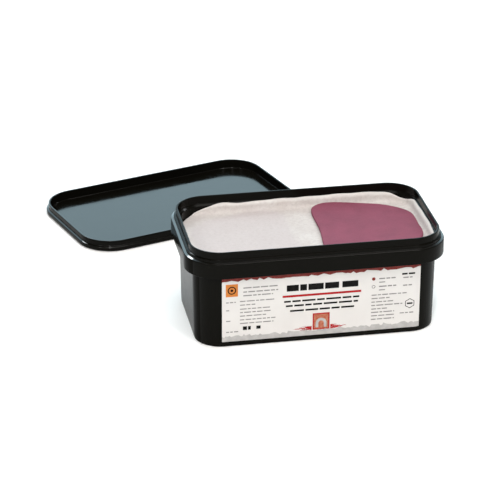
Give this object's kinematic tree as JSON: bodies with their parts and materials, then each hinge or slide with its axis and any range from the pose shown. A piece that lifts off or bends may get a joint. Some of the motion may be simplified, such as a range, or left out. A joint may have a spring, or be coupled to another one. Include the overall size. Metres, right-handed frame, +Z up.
{
  "type": "tub of dental tray plates",
  "caption": "Open rounded plastic tub holding pairs of tray plates between white interleaf sheets, with its shallow press-on lid lying upside down beside it.",
  "frame": {"origin": "middle of the tub's underside, on the surface the tub stands on", "axes": "+Z up; +X along the tub's long side; +Y away from the labelled front wall, towards the lid"},
  "size_m": [0.2906, 0.3675, 0.0827],
  "materials": {
    "black_plastic": "semi-gloss moulded black",
    "label_paper": "coated paper with printed panels",
    "plate_resin": "rose, soft satin",
    "interleaf": "white, soft matte"
  },
  "bodies": {
    "tub": {"tub_shell": "black_plastic", "front_label": "label_paper"},
    "lower_layers": {"interleaf_04": "interleaf", "plate_left_04": "plate_resin", "plate_right_04": "plate_resin", "interleaf_05": "interleaf", "plate_left_05": "plate_resin", "plate_right_05": "plate_resin", "interleaf_06": "interleaf", "plate_left_06": "plate_resin", "plate_right_06": "plate_resin", "interleaf_07": "interleaf", "plate_left_07": "plate_resin", "plate_right_07": "plate_resin", "interleaf_08": "interleaf", "plate_left_08": "plate_resin", "plate_right_08": "plate_resin", "interleaf_09": "interleaf", "plate_left_09": "plate_resin", "plate_right_09": "plate_resin", "interleaf_10": "interleaf", "plate_left_10": "plate_resin", "plate_right_10": "plate_resin", "interleaf_11": "interleaf", "plate_left_11": "plate_resin", "plate_right_11": "plate_resin", "interleaf_12": "interleaf", "plate_left_12": "plate_resin", "plate_right_12": "plate_resin", "interleaf_13": "interleaf", "plate_left_13": "plate_resin", "plate_right_13": "plate_resin", "interleaf_14": "interleaf", "plate_left_14": "plate_resin", "plate_right_14": "plate_resin", "interleaf_15": "interleaf", "plate_left_15": "plate_resin", "plate_right_15": "plate_resin", "interleaf_16": "interleaf", "plate_left_16": "plate_resin", "plate_right_16": "plate_resin", "interleaf_17": "interleaf", "plate_left_17": "plate_resin", "plate_right_17": "plate_resin", "interleaf_18": "interleaf", "plate_left_18": "plate_resin", "plate_right_18": "plate_resin", "interleaf_19": "interleaf", "plate_left_19": "plate_resin", "plate_right_19": "plate_resin"},
    "layer_3": {"interleaf_03": "interleaf", "plate_left_03": "plate_resin", "plate_right_03": "plate_resin"},
    "layer_2": {"interleaf_02": "interleaf", "plate_left_02": "plate_resin", "plate_right_02": "plate_resin"},
    "top_sheet": {"interleaf_01": "interleaf"},
    "top_plate": {"plate_right_01": "plate_resin"},
    "lid": {"lid_shell": "black_plastic"}
  },
  "joints": [
    {"name": "lower_layers_lift", "type": "slide", "parent": "tub", "child": "lower_layers", "axis": [0, 0, 1], "range_m": [0, 0.085]},
    {"name": "layer_3_lift", "type": "slide", "parent": "lower_layers", "child": "layer_3", "axis": [0, 0, 1], "range_m": [0, 0.04]},
    {"name": "layer_2_lift", "type": "slide", "parent": "layer_3", "child": "layer_2", "axis": [0, 0, 1], "range_m": [0, 0.04]},
    {"name": "top_sheet_lift", "type": "slide", "parent": "layer_2", "child": "top_sheet", "axis": [0, 0, 1], "range_m": [0, 0.04]},
    {"name": "top_plate_lift", "type": "slide", "parent": "top_sheet", "child": "top_plate", "axis": [0, 0, 1], "range_m": [0, 0.06]},
    {"name": "lid_lift", "type": "slide", "parent": "tub", "child": "lid", "axis": [0, 0, 1], "range_m": [0, 0.12]}
  ]
}
